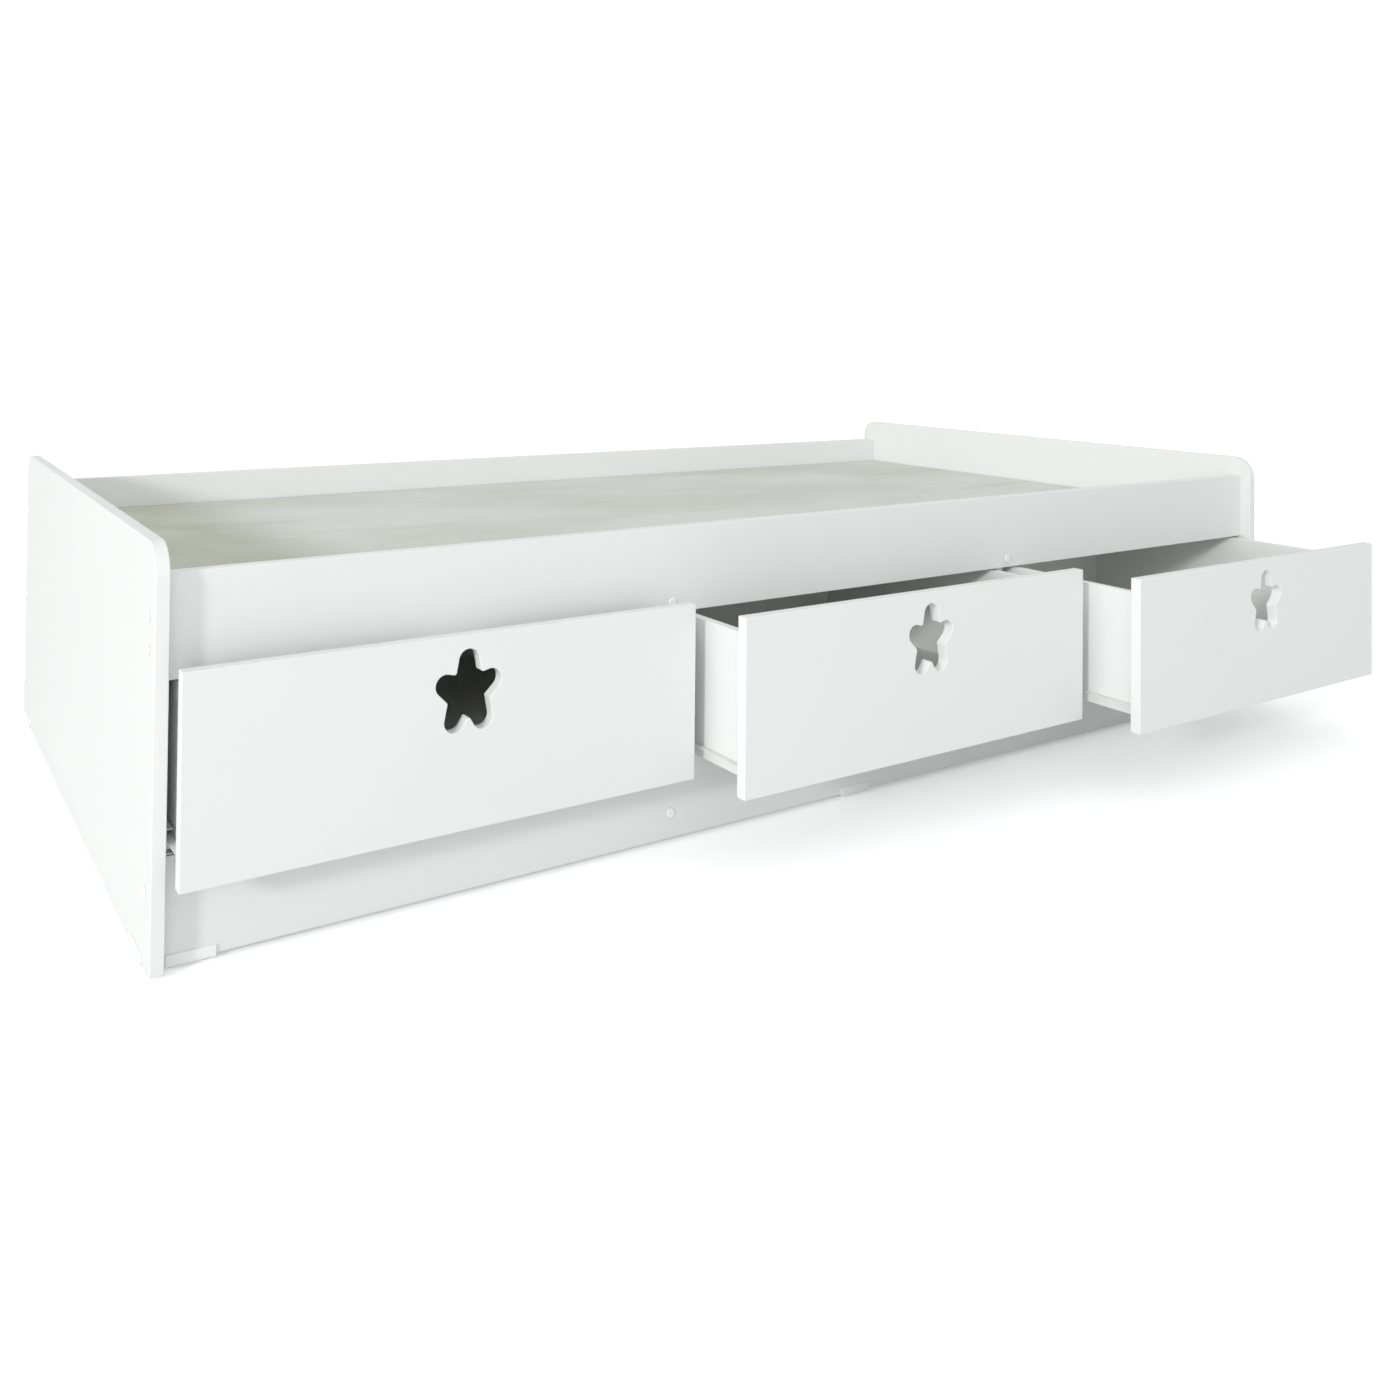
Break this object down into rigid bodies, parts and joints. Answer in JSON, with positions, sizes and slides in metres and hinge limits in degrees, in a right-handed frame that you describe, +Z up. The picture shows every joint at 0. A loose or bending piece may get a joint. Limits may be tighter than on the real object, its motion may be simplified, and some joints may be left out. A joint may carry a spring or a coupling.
{
  "type": "bed frame",
  "caption": "Low single bed frame of white boards, with a raw board mattress deck and pull-out storage drawers that have flower-shaped finger holes",
  "frame": {"origin": "the middle of the mattress area, on the top face of the deck", "axes": "+X runs along the bed from the left end panel to the right one as seen from the drawers, -Y is the side the drawers open towards, +Z is up"},
  "size_m": [1.944, 1.1745, 0.435],
  "materials": {
    "white_board": "white satin foil on chipboard",
    "raw_board": "raw, unpainted",
    "runner_steel": "white powder coat",
    "plain_steel": "zinc plated",
    "white_plastic": "smooth"
  },
  "bodies": {
    "frame": {"left_end_panel": "white_board", "right_end_panel": "white_board", "front_rail": "white_board", "plinth": "white_board", "back_panel": "white_board", "left_divider": "white_board", "right_divider": "white_board", "left_deck_sheet": "raw_board", "middle_deck_sheet": "raw_board", "right_deck_sheet": "raw_board", "front_cleats": "raw_board", "back_cleats": "raw_board", "end_cleats": "raw_board", "cleat_screws": "plain_steel", "carcass_screws": "plain_steel", "cover_caps": "white_plastic", "dowels": "raw_board", "end_panel_glides": "white_plastic", "plinth_glides": "white_plastic", "back_panel_glides": "white_plastic", "channel_screws": "plain_steel", "bay_axles": "plain_steel", "bay_1_channels": "runner_steel", "bay_2_channels": "runner_steel", "bay_3_channels": "runner_steel"},
    "drawer_1": {"drawer_1_front": "white_board", "drawer_1_left_side": "white_board", "drawer_1_right_side": "white_board", "drawer_1_back": "white_board", "drawer_1_bottom": "white_board", "drawer_1_runners": "runner_steel", "drawer_1_axles": "plain_steel", "drawer_1_fittings": "plain_steel", "drawer_1_screws": "plain_steel"},
    "bay_1_rollers": {"bay_1_rollers": "white_plastic"},
    "drawer_1_rollers": {"drawer_1_rollers": "white_plastic"},
    "drawer_2": {"drawer_2_front": "white_board", "drawer_2_left_side": "white_board", "drawer_2_right_side": "white_board", "drawer_2_back": "white_board", "drawer_2_bottom": "white_board", "drawer_2_runners": "runner_steel", "drawer_2_axles": "plain_steel", "drawer_2_fittings": "plain_steel", "drawer_2_screws": "plain_steel"},
    "bay_2_rollers": {"bay_2_rollers": "white_plastic"},
    "drawer_2_rollers": {"drawer_2_rollers": "white_plastic"},
    "drawer_3": {"drawer_3_front": "white_board", "drawer_3_left_side": "white_board", "drawer_3_right_side": "white_board", "drawer_3_back": "white_board", "drawer_3_bottom": "white_board", "drawer_3_runners": "runner_steel", "drawer_3_axles": "plain_steel", "drawer_3_fittings": "plain_steel", "drawer_3_screws": "plain_steel"},
    "bay_3_rollers": {"bay_3_rollers": "white_plastic"},
    "drawer_3_rollers": {"drawer_3_rollers": "white_plastic"}
  },
  "joints": [
    {"name": "drawer_1_slide", "type": "slide", "parent": "frame", "child": "drawer_1", "axis": [0, -1, 0], "range_m": [-0.035, 0.34]},
    {"name": "bay_1_roller_spin", "type": "hinge", "parent": "frame", "child": "bay_1_rollers", "pos_m": [-0.64167, -0.455, -0.217], "axis": [1, 0, 0], "continuous": true},
    {"name": "drawer_1_roller_spin", "type": "hinge", "parent": "drawer_1", "child": "drawer_1_rollers", "pos_m": [-0.64167, -0.0155, -0.217], "axis": [1, 0, 0], "continuous": true},
    {"name": "drawer_2_slide", "type": "slide", "parent": "frame", "child": "drawer_2", "axis": [0, -1, 0], "range_m": [-0.122, 0.253]},
    {"name": "bay_2_roller_spin", "type": "hinge", "parent": "frame", "child": "bay_2_rollers", "pos_m": [0, -0.455, -0.217], "axis": [1, 0, 0], "continuous": true},
    {"name": "drawer_2_roller_spin", "type": "hinge", "parent": "drawer_2", "child": "drawer_2_rollers", "pos_m": [0, -0.1025, -0.217], "axis": [1, 0, 0], "continuous": true},
    {"name": "drawer_3_slide", "type": "slide", "parent": "frame", "child": "drawer_3", "axis": [0, -1, 0], "range_m": [-0.207, 0.168]},
    {"name": "bay_3_roller_spin", "type": "hinge", "parent": "frame", "child": "bay_3_rollers", "pos_m": [0.64167, -0.455, -0.217], "axis": [1, 0, 0], "continuous": true},
    {"name": "drawer_3_roller_spin", "type": "hinge", "parent": "drawer_3", "child": "drawer_3_rollers", "pos_m": [0.64167, -0.1875, -0.217], "axis": [1, 0, 0], "continuous": true}
  ],
  "couplings": [
    {"joint": "bay_1_roller_spin", "follows": "drawer_1_slide", "rad_per_m": 153.85},
    {"joint": "drawer_1_roller_spin", "follows": "drawer_1_slide", "rad_per_m": 153.85},
    {"joint": "bay_2_roller_spin", "follows": "drawer_2_slide", "rad_per_m": 153.85},
    {"joint": "drawer_2_roller_spin", "follows": "drawer_2_slide", "rad_per_m": 153.85},
    {"joint": "bay_3_roller_spin", "follows": "drawer_3_slide", "rad_per_m": 153.85},
    {"joint": "drawer_3_roller_spin", "follows": "drawer_3_slide", "rad_per_m": 153.85}
  ]
}
